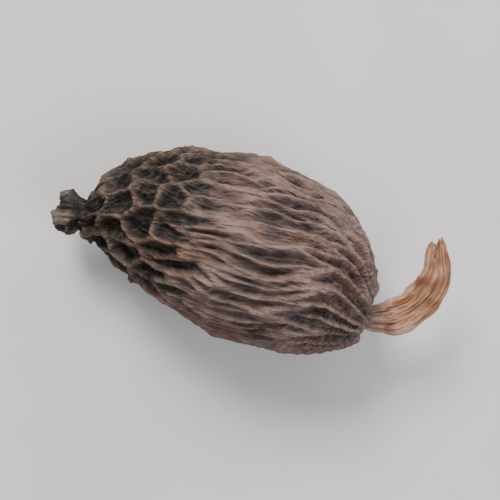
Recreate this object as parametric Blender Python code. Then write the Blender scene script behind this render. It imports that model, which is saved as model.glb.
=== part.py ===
"""A dried black cardamom pod, lying on its side: husk, calyx remnant and the scrap of its stalk.

Metres, +Z up. +X runs along the pod from the narrow tip to the stalk end.
The origin is at the centre of the pod's bounding box in X and Y, on the surface that it rests on.
"""

import math

import bpy
import numpy as np
from mathutils import Vector

# Husk: length from shoulder to blunt end, half-width, height as a share of width, and its profile
HUSK_LENGTH = 0.0229
HUSK_HALF_WIDTH = 0.0066
HUSK_FLATNESS = 0.90
WIDEST_POWER = 1.18
BLUNTNESS = 0.35
END_ROUNDING = 0.08
TIP_DROOP = 0.0009

# How far the calyx and the stalk sit off the middle of the blunt ends, and how steeply that fades
TIP_SHIFT = 0.0019
TIP_SHIFT_POWER = 20.0
END_SHIFT = 0.0016
END_SHIFT_POWER = 12.0

# Neck that carries the calyx, and the dimples that the other two pieces sit in
NECK_SHARE = 0.022
NECK_RADIUS = 0.00155
NECK_FADE = 0.12
TIP_DIMPLE_DEPTH = 0.0007
END_SHARE = 0.995
END_DIMPLE_DEPTH = 0.0009

# Cross-section of the husk: a rounded triangle, with shallow hollows where it shrivelled
TRIANGLE_SHARE = 0.040
TRIANGLE_TURN = math.radians(105)
SHRIVEL_SHARE = 0.030

# Raised ribs and net: a mesh of the net is a cell, long and narrow on the body, short and wide at the tip
BODY_CELL_LENGTH = 0.0090
BODY_CELL_WIDTH = 0.00110
TIP_CELL_LENGTH = 0.0031
TIP_CELL_WIDTH = 0.00210
TIP_END_SHARE = 0.28
BODY_START_SHARE = 0.46
FEWEST_CELLS = 6
NET_MARGIN = 0.001
ROW_STEP = 0.74
STRAY_ALONG = 0.24
STRAY_AROUND = 0.34
ROW_STRAY = 0.15
RIB_SEED = 11

# Ribs: height, half-width in cells on the body and at the tip, slant round the pod, and wander
RIB_HEIGHT = 0.00058
BODY_RIB_HALF_WIDTH = 0.30
TIP_RIB_HALF_WIDTH = 0.21
RIB_TWIST = 0.62
RIB_WEAVE = 0.055
RIB_RIPPLE = 0.026
RUN_WEAVE = 0.0003
FADE_IN_SHARE = 0.05
FADE_OUT_SHARE = 0.965

# Crests and grooves, in shares of the rib height: mean crest and how it wears, and depth of the grooves
CREST_MEAN = 0.80
CREST_SWING = 0.26
CREST_LEAST = 0.30
CREST_MOST = 1.20
GROOVE_DEPTH = 0.60
GROOVE_FILLED = 0.45
TIP_GROOVE_EXTRA = 0.10
PIT_LEVEL = 0.15

# Small flat spot that the pod rests on
REST_SINK = 0.00040
REST_HALF_LENGTH = 0.0030
REST_HALF_WIDTH = 0.0017
REST_FADE = 0.0009

# Calyx remnant at the tip: a tube that starts narrow, is pinched above its root and flares at the rim
CALYX_LENGTH = 0.0024
CALYX_RADIUS = 0.00155
CALYX_FLARE = 0.0001
CALYX_PINCH = 0.20
CALYX_PINCH_RUN = 0.625
CALYX_ROOT_SHARE = 0.35
CALYX_ROOT_RUN = 0.40
CALYX_TILT = math.radians(-96)
CALYX_TURN = math.radians(20)

# Its folds, as shares of its radius, and its ragged rim: how many, how deep and their phase
CALYX_FOLDS = (3, 0.10, 0.4)
CALYX_CREASES = (7, 0.07, 1.9)
CALYX_CRUMPLE = 0.09
CALYX_SEED = 31
CALYX_ROOT_FOLD = 0.3
CALYX_LOBES = (2, 0.10, 1.1)
CALYX_TEETH = (5, 0.06, 0.0)

# The cup in its end, and where the rings of the cup's wall lie between the rim and the bottom
CALYX_CUP_DEPTH = 0.0006
CALYX_CUP_RADIUS = 0.0007
CALYX_CUP_WALL = (0.35, 0.80)
CALYX_ROOT_POINT = 0.0001

# Stalk scrap at the blunt end: route of its middle from the end dimple, in the husk's directions
SCRAP_WIDTH = 0.0027
SCRAP_THICKNESS = 0.0010
SCRAP_ROUTE = (
    (0.0, 0.0, 0.0),
    (0.0015, 0.0003, -0.0002),
    (0.0030, 0.0011, -0.0004),
    (0.0042, 0.0028, -0.0001),
    (0.0046, 0.0049, 0.0006),
    (0.0038, 0.0070, 0.0013),
)
SCRAP_ROLL = 0.35

# How the band swells from its root, narrows to its end and thins, over shares of its run
SCRAP_ROOT_SHARE = 0.55
SCRAP_SWELL = (0.05, 0.40)
SCRAP_END_SHARE = 0.70
SCRAP_TAPER = (0.72, 1.0)
SCRAP_ROOT_DEPTH = 1.25
SCRAP_THINNING = 0.35

# Its hollow face, its bundles of fibres, its blunt closed ends and the tear at its free end
SCRAP_CUP = 0.00035
SCRAP_CUP_RUN = (0.1, 0.5)
SCRAP_FIBRES = 7
SCRAP_FIBRE_DEPTH = 0.16
SCRAP_FIBRE_SLANT = 4.0
SCRAP_CLOSED_SHARE = 0.75
SCRAP_CLOSED_POWER = 40
SCRAP_TEAR = 0.0007
SCRAP_TEAR_POWER = 12
SCRAP_TEETH = 3
SCRAP_TEETH_PHASE = 0.6

# Gap between touching pieces
JOINT_GAP = 0.00030

# Skin colours and how rough each skin is
HUSK_COLOUR = (0.105, 0.062, 0.045)
HUSK_ROUGHNESS = 0.78
CALYX_COLOUR = (0.028, 0.022, 0.020)
CALYX_ROUGHNESS = 0.85
STALK_COLOUR = (0.42, 0.20, 0.095)
STALK_ROUGHNESS = 0.70

# Mesh density
RUN_SAMPLES = 2000
HUSK_SIDES = 168
HUSK_RINGS = 31
TIP_RING_CROWDING = 0.8
DIMPLE_RINGS = 2
CALYX_SIDES = 36
CALYX_RINGS = 10
SCRAP_SIDES = 24
SCRAP_RINGS = 26


def clear_scene():
    for old in list(bpy.data.objects):
        bpy.data.objects.remove(old, do_unlink=True)


def smooth_step(low, high, value):
    """0 below low, 1 above high, with a smooth rise between."""
    share = np.clip((value - low) / (high - low), 0.0, 1.0)
    return share * share * (3.0 - 2.0 * share)


def wave_noise(along, angle, seed, waves, most_along, most_around, least_around=0):
    """A sum of slanted sine waves that closes round the pod, about -1 to 1."""
    draw = np.random.default_rng(seed)
    total = np.zeros(np.broadcast(along, angle).shape)
    for _ in range(waves):
        around = int(draw.integers(least_around, most_around + 1))
        length = draw.uniform(-most_along, most_along)
        phase = draw.uniform(0.0, math.tau)
        total += np.sin(around * angle + math.tau * length * along + phase)
    return total / math.sqrt(waves)


def mean_radius(along):
    """Half-width of the husk at a share of its length: blunt at both ends, widest past the middle."""
    length = np.clip(along, 0.0, 1.0)
    swell = np.clip(np.sin(math.pi * length**WIDEST_POWER), 0.0, 1.0)
    body = HUSK_HALF_WIDTH * swell ** (BLUNTNESS + END_ROUNDING * length**4)
    neck = NECK_RADIUS * (1.0 - smooth_step(0.0, NECK_FADE, along))
    return np.hypot(body, neck)


def surface_runs():
    """Shares of the length from the neck to the end, and how far each lies along the surface."""
    along = np.linspace(-NECK_SHARE, END_SHARE, RUN_SAMPLES)
    steps = np.hypot(np.diff(along) * HUSK_LENGTH, np.diff(mean_radius(along)))
    return along, np.concatenate([[0.0], np.cumsum(steps)])


def husk_body(along, angle):
    """Points of the smooth husk, before ribs."""
    corner = 1.0 + TRIANGLE_SHARE * np.cos(3.0 * (angle - TRIANGLE_TURN))
    shrivel = 1.0 + SHRIVEL_SHARE * wave_noise(along, angle, RIB_SEED, waves=6, most_along=1.4, most_around=3)
    radius = mean_radius(along) * corner * shrivel
    length = np.clip(along, 0.0, 1.0)
    x = HUSK_LENGTH * along + 0.0 * angle
    shift = TIP_SHIFT * (1.0 - length) ** TIP_SHIFT_POWER + END_SHIFT * length**END_SHIFT_POWER
    y = radius * np.cos(angle) - shift
    z = HUSK_FLATNESS * radius * np.sin(angle) - TIP_DROOP * (1.0 - length) ** 2
    return np.stack([x, y, z], axis=-1)


def tip_to_body(share, tip_value, body_value):
    """A value that changes from the tip's to the body's over the surface run."""
    return tip_value + (body_value - tip_value) * smooth_step(TIP_END_SHARE, BODY_START_SHARE, share)


def cell_size(share):
    """Length and width of the net's cells at a share of the surface run."""
    length = tip_to_body(share, TIP_CELL_LENGTH, BODY_CELL_LENGTH)
    width = tip_to_body(share, TIP_CELL_WIDTH, BODY_CELL_WIDTH)
    return length, width


def cell_centres(surface):
    """Centres of the net's cells, in rows round the pod, each row shifted by half a cell."""
    along, runs = surface
    draw = np.random.default_rng(RIB_SEED)
    centres = []
    run = -NET_MARGIN
    row = 0
    while run < runs[-1] + 2.0 * NET_MARGIN:
        length, width = cell_size(run / runs[-1])
        radius = float(mean_radius(np.interp(run, runs, along)))
        count = max(FEWEST_CELLS, round(math.tau * radius / width))
        turn = 0.5 * (row % 2) + draw.uniform(-ROW_STRAY, ROW_STRAY)
        for place in range(count):
            angle = math.tau * (place + turn + draw.uniform(-STRAY_AROUND, STRAY_AROUND)) / count
            centres.append((run + length * draw.uniform(-STRAY_ALONG, STRAY_ALONG), angle))
        run += ROW_STEP * length
        row += 1
    return centres


def border_distance(along, angle, surface):
    """How far each point is from the border of the two cells nearest to it, in cells."""
    weave = wave_noise(along, angle, RIB_SEED + 1, waves=8, most_along=3.0, most_around=4)
    ripple = wave_noise(along, angle, RIB_SEED + 5, waves=9, most_along=7.0, most_around=9)
    drift = wave_noise(along, angle, RIB_SEED + 2, waves=6, most_along=3.0, most_around=7)
    run = np.interp(along, surface[0], surface[1]) + RUN_WEAVE * drift
    angle = angle + RIB_TWIST * along + RIB_WEAVE * weave + RIB_RIPPLE * ripple
    radius = mean_radius(along)
    length, width = cell_size(run / surface[1][-1])
    nearest = np.full(angle.shape, np.inf)
    second = np.full(angle.shape, np.inf)
    for centre_run, centre_angle in cell_centres(surface):
        turn = (angle - centre_angle + math.pi) % math.tau - math.pi
        distance = np.hypot((run - centre_run) / length, turn * radius / width)
        second = np.minimum(second, np.maximum(nearest, distance))
        nearest = np.minimum(nearest, distance)
    return (second - nearest) / 2.0


def net_height(along, angle, share, surface):
    """Height of the raised net over the smooth husk, in shares of the rib height.

    A rib runs where a point is as near to one cell's centre as to the next one's. The crests are worn
    unevenly, and the grooves deepen and flatten out along their run.
    """
    half_width = tip_to_body(share, TIP_RIB_HALF_WIDTH, BODY_RIB_HALF_WIDTH)
    border = border_distance(along, angle, surface)
    net = np.cos(0.5 * math.pi * np.clip(border / half_width, 0.0, 1.0)) ** 2
    wear = wave_noise(along, angle, RIB_SEED + 3, waves=12, most_along=5.0, most_around=14, least_around=2)
    worn = np.clip(CREST_MEAN + CREST_SWING * wear, CREST_LEAST, CREST_MOST)
    silt = wave_noise(along, angle, RIB_SEED + 6, waves=16, most_along=8.0, most_around=22, least_around=7)
    filled = GROOVE_FILLED * (0.5 + 0.5 * np.clip(silt, -1.0, 1.0))
    sunk = GROOVE_DEPTH - filled + tip_to_body(share, TIP_GROOVE_EXTRA, 0.0)
    return worn * net - sunk * (1.0 - net) - PIT_LEVEL


def surface_normals(points):
    """Outward normals of a grid of rings, from its steps round and along."""
    round_step = np.roll(points, -1, axis=1) - np.roll(points, 1, axis=1)
    along_step = np.gradient(points, axis=0)
    normals = np.cross(round_step, along_step)
    return normals / np.linalg.norm(normals, axis=-1, keepdims=True)


def rest_share(body, angle):
    """1 on the flat spot under the husk's lowest point, 0 away from it."""
    lowest = np.unravel_index(body[..., 2].argmin(), body.shape[:2])
    away = (body - body[lowest])[..., :2] / (REST_HALF_LENGTH, REST_HALF_WIDTH)
    reach = np.linalg.norm(away, axis=-1)
    flat = 1.0 - smooth_step(1.0, 1.0 + REST_FADE / REST_HALF_WIDTH, reach)
    return flat * (angle % math.tau > math.pi)


def dimple_rings(rim, inward):
    """Rings that close a dimple, from its rim in to its middle. Inward is its depth along X."""
    middle = rim.mean(axis=0)
    rings = []
    for share in np.linspace(1.0, 0.0, DIMPLE_RINGS + 2)[1:-1]:
        ring = middle + (rim - middle) * share
        ring[:, 0] += inward * (1.0 - share**2)
        rings.append(ring)
    return rings, middle + np.array([inward, 0.0, 0.0])


def husk_rings():
    """Rings of the husk with its relief, and the middles of its two dimples."""
    surface = surface_runs()
    step = np.linspace(0.0, 1.0, HUSK_RINGS)
    crowded = (np.exp(TIP_RING_CROWDING * step) - 1.0) / (math.exp(TIP_RING_CROWDING) - 1.0)
    share = crowded[:, None]
    along = np.interp(share * surface[1][-1], surface[1], surface[0])
    # The grid slants with the ribs, so that its edges run along them
    angle = np.linspace(0.0, math.tau, HUSK_SIDES, endpoint=False)[None, :] - RIB_TWIST * along

    body = husk_body(along, angle)
    body[..., 2] -= body[..., 2].min() + REST_SINK
    ends = smooth_step(0.0, FADE_IN_SHARE, share) * (1.0 - smooth_step(FADE_OUT_SHARE, 1.0, share))
    raised = ends * (1.0 - rest_share(body, angle))
    height = RIB_HEIGHT * raised * net_height(along, angle, share, surface)
    points = body + surface_normals(body) * height[..., None]
    points[..., 2] = np.maximum(points[..., 2], 0.0)

    tip_rings, tip = dimple_rings(points[0], TIP_DIMPLE_DEPTH)
    end_rings, end = dimple_rings(points[-1], -END_DIMPLE_DEPTH)
    rings = np.concatenate([np.array(tip_rings[::-1]), points, np.array(end_rings)])
    return rings, tip, end


def round_wave(angle, wave):
    """A wave that closes round a piece, from how many crests it has, their height and its phase."""
    crests, height, phase = wave
    return height * np.cos(crests * angle + phase)


def calyx_folds(share, angle):
    """How far the calyx is folded in and out, as a share of its radius."""
    folds = round_wave(angle, CALYX_FOLDS) + round_wave(angle, CALYX_CREASES)
    crumple = wave_noise(share, angle, CALYX_SEED, waves=7, most_along=1.6, most_around=6)
    return folds + CALYX_CRUMPLE * crumple


def ring_at(radius, angle, height):
    """One ring of points round +Z."""
    return np.stack([radius * np.cos(angle), radius * np.sin(angle), height + 0.0 * angle], axis=-1)


def calyx_rings():
    """Rings of the calyx remnant along its own +Z: a pinched, folded tube with a ragged rim and a cup."""
    angle = np.linspace(0.0, math.tau, CALYX_SIDES, endpoint=False)
    ragged = round_wave(angle, CALYX_LOBES) + round_wave(angle, CALYX_TEETH)
    rings = []
    for share in np.linspace(0.0, 1.0, CALYX_RINGS):
        pinch = 1.0 - CALYX_PINCH * math.sin(math.pi * min(share / CALYX_PINCH_RUN, 1.0))
        swell = min(1.0, share / CALYX_ROOT_RUN)
        root = math.sqrt(CALYX_ROOT_SHARE**2 + (1.0 - CALYX_ROOT_SHARE**2) * swell)
        radius = CALYX_RADIUS * pinch * root + CALYX_FLARE * share**2
        crease = 1.0 + calyx_folds(share, angle) * min(1.0, CALYX_ROOT_FOLD + share)
        height = CALYX_LENGTH * share * (1.0 + ragged * share**3)
        rings.append(ring_at(radius * crease, angle, height))
    rim = rings[-1][:, 2]
    folds = 1.0 + calyx_folds(1.0, angle)
    rim_radius = CALYX_RADIUS + CALYX_FLARE
    for share in CALYX_CUP_WALL:
        radius = rim_radius + (CALYX_CUP_RADIUS - rim_radius) * share
        rings.append(ring_at(radius * folds, angle, rim - CALYX_CUP_DEPTH * (share - CALYX_CUP_WALL[0])))
    bottom = CALYX_LENGTH - CALYX_CUP_DEPTH
    rings.append(ring_at(0.5 * CALYX_CUP_RADIUS * folds, angle, np.full(CALYX_SIDES, bottom)))
    return np.array(rings), Vector((0.0, 0.0, -CALYX_ROOT_POINT)), Vector((0.0, 0.0, bottom))


def smooth_route(points, count):
    """Points along a smooth curve through the given ones, and its tangents."""
    points = np.array(points)
    padded = np.concatenate([[2 * points[0] - points[1]], points, [2 * points[-1] - points[-2]]])
    place = np.linspace(0.0, len(points) - 1.0, count)
    start = np.minimum(place.astype(int), len(points) - 2)
    part = (place - start)[:, None]
    before, here, after, beyond = (padded[start + offset] for offset in range(4))
    curve = 0.5 * (
        2 * here
        + (after - before) * part
        + (2 * before - 5 * here + 4 * after - beyond) * part**2
        + (3 * here - before - 3 * after + beyond) * part**3
    )
    tangents = np.gradient(curve, axis=0)
    return curve, tangents / np.linalg.norm(tangents, axis=1, keepdims=True)


def scrap_rings():
    """Rings of the stalk scrap: a cupped band of fibres that swells, curls round and ends torn."""
    middle, tangent = smooth_route(SCRAP_ROUTE, SCRAP_RINGS)
    share = np.linspace(0.0, 1.0, SCRAP_RINGS)[:, None]
    turn = np.linspace(0.0, math.tau, SCRAP_SIDES, endpoint=False)[None, :]
    level = np.cross([0.0, 0.0, 1.0], tangent)
    level /= np.linalg.norm(level, axis=1, keepdims=True)
    upward = np.cross(tangent, level)
    roll = SCRAP_ROLL * share
    side = level * np.cos(roll) + upward * np.sin(roll)
    face = upward * np.cos(roll) - level * np.sin(roll)

    swell = SCRAP_ROOT_SHARE + (1.0 - SCRAP_ROOT_SHARE) * smooth_step(*SCRAP_SWELL, share)
    taper = (1.0 - SCRAP_END_SHARE) * smooth_step(*SCRAP_TAPER, share)
    close = np.sqrt(1.0 - SCRAP_CLOSED_SHARE * (2.0 * share - 1.0) ** SCRAP_CLOSED_POWER)
    width = 0.5 * SCRAP_WIDTH * (swell - taper) * close
    fibres = 1.0 + SCRAP_FIBRE_DEPTH * np.cos(SCRAP_FIBRES * turn + SCRAP_FIBRE_SLANT * share)
    depth = 0.5 * SCRAP_THICKNESS * (SCRAP_ROOT_DEPTH - SCRAP_THINNING * share) * close * fibres
    cup = SCRAP_CUP * smooth_step(*SCRAP_CUP_RUN, share) * np.cos(turn) ** 2
    across = width * np.cos(turn)
    above = depth * np.sin(turn) + cup
    tear = SCRAP_TEAR * share**SCRAP_TEAR_POWER * np.cos(SCRAP_TEETH * turn + SCRAP_TEETH_PHASE)
    return (
        middle[:, None, :]
        + side[:, None, :] * across[..., None]
        + face[:, None, :] * above[..., None]
        + tangent[:, None, :] * tear[..., None]
    )


def mesh_from_rings(name, rings, first_pole, last_pole):
    """A closed mesh: quads between neighbouring rings, and a fan of triangles at each pole."""
    ring_count, sides = rings.shape[:2]
    index = np.arange(ring_count * sides).reshape(ring_count, sides)
    following = np.roll(index, -1, axis=1)
    first = ring_count * sides
    last = first + 1
    sheet = np.stack([index[:-1], following[:-1], following[1:], index[1:]], axis=-1)
    faces = sheet.reshape(-1, 4).tolist()
    faces += [(first, b, a) for a, b in zip(index[0].tolist(), following[0].tolist())]
    faces += [(last, a, b) for a, b in zip(index[-1].tolist(), following[-1].tolist())]
    points = rings.reshape(-1, 3).tolist() + [tuple(first_pole), tuple(last_pole)]
    mesh = bpy.data.meshes.new(name)
    mesh.from_pydata(points, [], faces)
    mesh.shade_smooth()
    return mesh


def make_material(name, colour, roughness):
    material = bpy.data.materials.new(name)
    material.use_nodes = True
    shader = material.node_tree.nodes["Principled BSDF"]
    shader.inputs["Base Color"].default_value = (*colour, 1.0)
    shader.inputs["Roughness"].default_value = roughness
    shader.inputs["Metallic"].default_value = 0.0
    return material


def add_object(name, mesh, material, parent):
    mesh.materials.append(material)
    piece = bpy.data.objects.new(name, mesh)
    piece.parent = parent
    bpy.context.scene.collection.objects.link(piece)
    return piece


def add_husk(pod):
    """The husk. Returns the places where the calyx and the stalk scrap sit."""
    rings, tip, end = husk_rings()
    mesh = mesh_from_rings("husk", rings, tip, end)
    add_object("husk", mesh, make_material("husk_skin", HUSK_COLOUR, HUSK_ROUGHNESS), pod)
    return Vector(tip), Vector(end)


def add_calyx(pod, tip):
    rings, root, bottom = calyx_rings()
    mesh = mesh_from_rings("calyx_remnant", rings, root, bottom)
    material = make_material("calyx_char", CALYX_COLOUR, CALYX_ROUGHNESS)
    calyx = add_object("calyx_remnant", mesh, material, pod)
    calyx.rotation_euler = (0.0, CALYX_TILT, CALYX_TURN)
    calyx.location = tip - Vector((JOINT_GAP, 0.0, 0.0))


def add_scrap(pod, end):
    rings = scrap_rings()
    mesh = mesh_from_rings("stalk_scrap", rings, rings[0].mean(axis=0), rings[-1].mean(axis=0))
    material = make_material("stalk_copper", STALK_COLOUR, STALK_ROUGHNESS)
    scrap = add_object("stalk_scrap", mesh, material, pod)
    scrap.location = end + Vector((JOINT_GAP, 0.0, 0.0))


def centre_pod(pod):
    """Moves the pod so that its box is centred on X and Y. Its flat spot is at Z = 0 already."""
    bpy.context.view_layer.update()
    corners = [piece.matrix_world @ vertex.co for piece in pod.children for vertex in piece.data.vertices]
    spans = [(min(values), max(values)) for values in zip(*corners)]
    pod.location = (-sum(spans[0]) / 2.0, -sum(spans[1]) / 2.0, 0.0)


def main():
    clear_scene()
    pod = bpy.data.objects.new("cardamom_pod", None)
    bpy.context.scene.collection.objects.link(pod)
    tip, end = add_husk(pod)
    add_calyx(pod, tip)
    add_scrap(pod, end)
    centre_pod(pod)


main()
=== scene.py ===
"""A dried black cardamom pod lying on a pale table.

The husk, the calyx remnant and the stalk scrap are surfaces worked out with numpy, at the places of the
frame's nodes. Metres, +Z up, +X along the pod from its narrow tip to its stalk end.
"""

import logging
import math
from dataclasses import dataclass, field
from enum import Enum
from functools import cached_property

import bpy
import numpy as np
from mathutils import Euler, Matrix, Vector


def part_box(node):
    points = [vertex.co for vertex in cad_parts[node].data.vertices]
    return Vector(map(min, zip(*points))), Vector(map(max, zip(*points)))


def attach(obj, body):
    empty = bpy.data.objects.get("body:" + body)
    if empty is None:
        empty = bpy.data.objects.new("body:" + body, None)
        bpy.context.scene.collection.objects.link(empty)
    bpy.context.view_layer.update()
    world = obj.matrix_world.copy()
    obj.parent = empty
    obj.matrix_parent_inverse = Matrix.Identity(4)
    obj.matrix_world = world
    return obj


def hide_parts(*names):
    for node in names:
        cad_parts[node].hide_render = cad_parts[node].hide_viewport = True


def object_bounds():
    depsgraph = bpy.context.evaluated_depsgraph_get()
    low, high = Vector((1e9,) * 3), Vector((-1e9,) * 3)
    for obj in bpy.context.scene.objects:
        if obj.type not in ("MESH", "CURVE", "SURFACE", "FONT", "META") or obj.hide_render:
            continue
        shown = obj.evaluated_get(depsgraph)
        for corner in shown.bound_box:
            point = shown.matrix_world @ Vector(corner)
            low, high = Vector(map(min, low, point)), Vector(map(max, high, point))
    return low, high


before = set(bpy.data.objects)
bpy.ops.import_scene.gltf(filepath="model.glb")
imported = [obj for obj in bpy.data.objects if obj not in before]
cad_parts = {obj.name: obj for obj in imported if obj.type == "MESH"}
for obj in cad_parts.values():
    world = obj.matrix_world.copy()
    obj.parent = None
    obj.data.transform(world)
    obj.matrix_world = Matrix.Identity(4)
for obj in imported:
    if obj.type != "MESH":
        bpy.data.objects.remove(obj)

Array = np.ndarray
Socket = bpy.types.NodeSocket
Tree = bpy.types.NodeTree
Pair = tuple[float, float]
Triple = tuple[float, float, float]
Stops = tuple[tuple[float, Triple], ...]

LOG = logging.getLogger("cardamom_pod")
CAD_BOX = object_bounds()
TURN = math.tau
MILLIMETRES = 1000.0
WHOLE: Pair = (0.0, 1.0)

# How far the calyx remnant and the stalk scrap stand off the bottoms of their dimples
SEAT_GAP = 0.00009

# Large odd numbers that scatter the whole-numbered corners of a lattice, and the bits that are kept
CORNER_SCATTER = (374761393, 668265263, 1103515245)
SEED_SCATTER = 974634777
REMIX = 1274126177
LOW_WORD = 0xFFFFFFFF
LOW_BITS = 0xFFFFFF

# Creases: how much finer the fine layer is, where it starts, the coarse layer's part, and for both layers
# together the mean and the middle of the range
CREASE_FINER = 2.1
CREASE_START = 7.3
CREASE_COARSE_PART = 0.65
CREASE_MEAN = 0.45
CREASE_MIDDLE = 0.5

# Fibres: how the fine layer is sharpened, and the parts of the coarse and the fine layer in each output
FIBRE_SHARPENING: Pair = (0.34, 0.66)
FIBRE_PARTS = {"Streak": (0.6, 0.4), "Height": (0.5, 0.6)}


class Piece(Enum):
    """The frame's nodes and their finish slots."""

    HUSK = ("husk", "husk")
    CALYX = ("calyx_remnant", "calyx")
    STALK = ("stalk_scrap", "stalk")


# Numeric helpers


def smooth_step(low: float, high: float, value: Array) -> Array:
    """Share risen at a value, from 0 at low to 1 at high, with level ends."""
    share = np.clip((value - low) / (high - low), 0.0, 1.0)
    return share * share * (3.0 - 2.0 * share)


def grid_of(*parts: Array | float) -> Array:
    """Stack rows, columns and grids as the last axis of one grid."""
    return np.stack(np.broadcast_arrays(*parts), axis=-1)


def weighted(parts: tuple[float, ...], *layers: Array | float) -> Array:
    """Add up layers, each times its own part."""
    return sum(part * layer for part, layer in zip(parts, layers))


@dataclass(frozen=True)
class RoundWave:
    """A cosine wave that closes round a piece. Its slant is what its phase gains over the whole length."""

    crests: int
    height: float
    phase: float = 0.0
    slant: float = 0.0

    def at(self, angle: Array, share: Array | float = 0.0) -> Array:
        """Height of the wave at an angle round the piece and a share of its length."""
        return self.height * np.cos(self.crests * angle + self.phase + self.slant * share)


@dataclass(frozen=True)
class WaveNoise:
    """Slanted sine waves that close round a piece, added up to about as much as the size either way.

    The seed gives their slants and phases, within the most waves along the length and the fewest and most
    waves round the piece.
    """

    seed: int
    waves: int
    most_along: float
    most_around: int
    least_around: int = 0
    size: float = 1.0

    def at(self, along: Array, angle: Array) -> Array:
        """Add up the waves.

        Args:
            along: Share of the length.
            angle: Angle round the piece.

        Returns:
            The sum at each point.
        """
        draw = np.random.default_rng(self.seed)
        total = np.zeros(np.broadcast(along, angle).shape)
        for _ in range(self.waves):
            around = int(draw.integers(self.least_around, self.most_around + 1))
            length = draw.uniform(-self.most_along, self.most_along)
            phase = draw.uniform(0.0, TURN)
            total += np.sin(around * angle + TURN * length * along + phase)
        return self.size * (total / math.sqrt(self.waves))


@dataclass(frozen=True)
class LatticeNoise:
    """Smooth noise: each corner of a lattice in space has its own value, and points blend them."""

    seed: int
    spacing: float = 1.0

    @staticmethod
    def corner_values(corner: Array, seed: int) -> Array:
        """Scatter each corner's whole-numbered place into a steady value.

        Args:
            corner: Whole x, y, z in the last axis.
            seed: Seed of the values.

        Returns:
            Values from 0 to 1.
        """
        mixed = sum(corner[..., axis] * scatter for axis, scatter in enumerate(CORNER_SCATTER))
        mixed = (mixed + seed * SEED_SCATTER) & LOW_WORD
        mixed = ((mixed ^ (mixed >> 13)) * REMIX) & LOW_WORD
        return ((mixed ^ (mixed >> 16)) & LOW_BITS) / float(LOW_BITS)

    @classmethod
    def blend(cls, places: Array, seed: int) -> Array:
        """Blend the values of the eight corners round each place, with an even ease between them.

        Args:
            places: Places in lattice steps, x, y, z in the last axis.
            seed: Seed of the corners' values.

        Returns:
            Values from 0 to 1.
        """
        base = np.floor(places).astype(np.int64)
        part = smooth_step(0.0, 1.0, places - base)
        total = np.zeros(places.shape[:-1])
        for step in np.ndindex(2, 2, 2):
            share = np.prod(np.where(np.array(step) == 1, part, 1.0 - part), axis=-1)
            total += share * cls.corner_values(base + np.array(step), seed)
        return total

    def smooth(self, points: Array) -> Array:
        """Read the noise less its mean, -0.5 to 0.5."""
        return self.blend(points / self.spacing, self.seed) - 0.5

    def creased(self, points: Array) -> Array:
        """Fold the noise over its middle, which leaves sharp raised creases, in two layers.

        Args:
            points: Points, x, y, z in the last axis.

        Returns:
            Values from 0 to 1, 1 on a crease.
        """
        places = points / self.spacing
        coarse = 1.0 - np.abs(2.0 * self.blend(places, self.seed) - 1.0)
        fine = 1.0 - np.abs(2.0 * self.blend(places * CREASE_FINER + CREASE_START, self.seed + 1) - 1.0)
        return CREASE_COARSE_PART * coarse**2 + (1.0 - CREASE_COARSE_PART) * fine**2


def grid_normals(points: Array) -> Array:
    """Find the outward normals of a grid of rings.

    Args:
        points: Rings of points, ring by ring along the piece.

    Returns:
        The unit cross product of the steps round and along.
    """
    round_step = np.roll(points, -1, axis=1) - np.roll(points, 1, axis=1)
    along_step = np.gradient(points, axis=0)
    normals = np.cross(round_step, along_step)
    return normals / np.maximum(np.linalg.norm(normals, axis=-1, keepdims=True), 1e-15)


def smooth_route(points: Array, count: int) -> tuple[Array, Array]:
    """Run a smooth curve through points: on each span a cubic of the four points round it.

    Args:
        points: The route's points.
        count: How many places to give.

    Returns:
        Places along the curve, and its unit tangents.
    """
    padded = np.concatenate([[2 * points[0] - points[1]], points, [2 * points[-1] - points[-2]]])
    place = np.linspace(0.0, len(points) - 1.0, count)
    start = np.minimum(place.astype(int), len(points) - 2)
    part = (place - start)[:, None]
    before, here, after, beyond = (padded[start + offset] for offset in range(4))
    curve = 0.5 * (
        2 * here
        + (after - before) * part
        + (2 * before - 5 * here + 4 * after - beyond) * part**2
        + (3 * here - before - 3 * after + beyond) * part**3
    )
    tangents = np.gradient(curve, axis=0)
    return curve, tangents / np.linalg.norm(tangents, axis=1, keepdims=True)


# Mesh helpers


def put_in_scene(name: str, data: bpy.types.ID) -> bpy.types.Object:
    """Put a new object in the scene.

    Args:
        name: Its name.
        data: Its mesh, light or camera.

    Returns:
        The object.
    """
    thing = bpy.data.objects.new(name, data)
    bpy.context.scene.collection.objects.link(thing)
    return thing


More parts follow.
